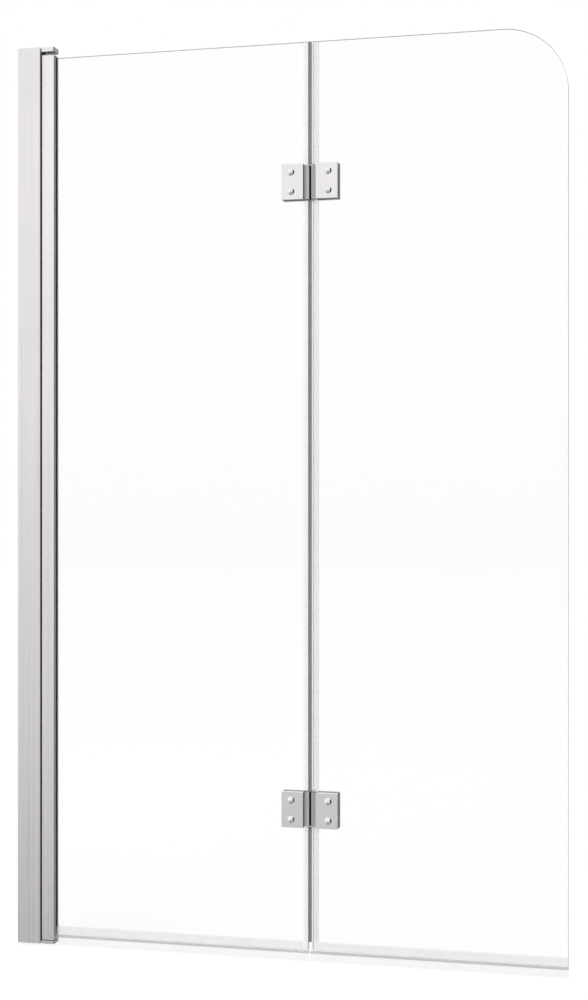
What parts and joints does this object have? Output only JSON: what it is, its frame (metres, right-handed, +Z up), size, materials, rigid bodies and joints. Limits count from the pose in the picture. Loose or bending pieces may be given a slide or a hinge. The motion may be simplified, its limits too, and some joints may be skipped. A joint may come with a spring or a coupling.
{
  "type": "folding bath shower screen",
  "caption": "Two-panel folding bath shower screen: clear glass on a wall pivot with width adjustment, panels joined by hinges, soft seals along fold and rim.",
  "frame": {"origin": "on the wall face of the wall channel, in the middle of its depth, at its foot on the bath rim", "axes": "+X from the wall towards the free edge, +Y from the front to the back, the side that the outer panel folds to, +Z up"},
  "size_m": [0.851, 0.0321, 1.4],
  "materials": {
    "brushed_channel": "silver anodised, brushed along its length",
    "satin_bracket": "satin silver",
    "hinge_metal": "satin stainless steel",
    "bright_steel": "polished",
    "clear_glass": "clear toughened glass with polished edges",
    "clear_pvc": "soft translucent extruded seal",
    "smoke_pvc": "soft smoke grey seal",
    "black_rubber": "matt black extruded rubber",
    "hinge_pad": "thin rubber sheet",
    "nylon": "natural nylon",
    "grey_plastic": "moulded grey plastic"
  },
  "bodies": {
    "wall_channel": {"wall_channel": "brushed_channel", "channel_top_cap": "grey_plastic", "clamp_screws": "bright_steel", "clamp_nuts": "bright_steel"},
    "adjuster": {"adjusting_profile": "brushed_channel", "pivot_seal": "smoke_pvc", "top_bracket": "satin_bracket", "bottom_bracket": "satin_bracket", "bracket_screws": "bright_steel", "top_pivot_pin": "bright_steel", "bottom_pivot_pin": "bright_steel", "thrust_washer": "nylon"},
    "inner_panel": {"pivot_profile": "brushed_channel", "top_pivot_cap": "grey_plastic", "bottom_pivot_cap": "grey_plastic", "front_glazing_gasket": "black_rubber", "back_glazing_gasket": "black_rubber", "inner_glass": "clear_glass", "inner_bottom_seal": "clear_pvc", "inner_fold_seal": "clear_pvc", "upper_inner_leaf": "hinge_metal", "upper_inner_plate": "hinge_metal", "upper_inner_pads": "hinge_pad", "upper_inner_bushes": "nylon", "upper_inner_dome_nuts": "bright_steel", "upper_inner_screws": "bright_steel", "upper_hinge_pin": "bright_steel", "upper_hinge_washers": "nylon", "lower_inner_leaf": "hinge_metal", "lower_inner_plate": "hinge_metal", "lower_inner_pads": "hinge_pad", "lower_inner_bushes": "nylon", "lower_inner_dome_nuts": "bright_steel", "lower_inner_screws": "bright_steel", "lower_hinge_pin": "bright_steel", "lower_hinge_washers": "nylon"},
    "outer_panel": {"outer_glass": "clear_glass", "outer_bottom_seal": "clear_pvc", "outer_fold_seal": "clear_pvc", "fold_bulb": "smoke_pvc", "upper_outer_leaf": "hinge_metal", "upper_outer_plate": "hinge_metal", "upper_outer_pads": "hinge_pad", "upper_outer_bushes": "nylon", "upper_outer_dome_nuts": "bright_steel", "upper_outer_screws": "bright_steel", "lower_outer_leaf": "hinge_metal", "lower_outer_plate": "hinge_metal", "lower_outer_pads": "hinge_pad", "lower_outer_bushes": "nylon", "lower_outer_dome_nuts": "bright_steel", "lower_outer_screws": "bright_steel"}
  },
  "joints": [
    {"name": "width_adjust", "type": "slide", "parent": "wall_channel", "child": "adjuster", "axis": [1, 0, 0], "range_m": [0, 0.015]},
    {"name": "wall_pivot", "type": "hinge", "parent": "adjuster", "child": "inner_panel", "pos_m": [0.0485, 0, 0], "axis": [0, 0, 1], "range_deg": [-90, 90]},
    {"name": "panel_fold", "type": "hinge", "parent": "inner_panel", "child": "outer_panel", "pos_m": [0.4674, 0.0115, 0], "axis": [0, 0, 1], "range_deg": [0, 180]}
  ]
}
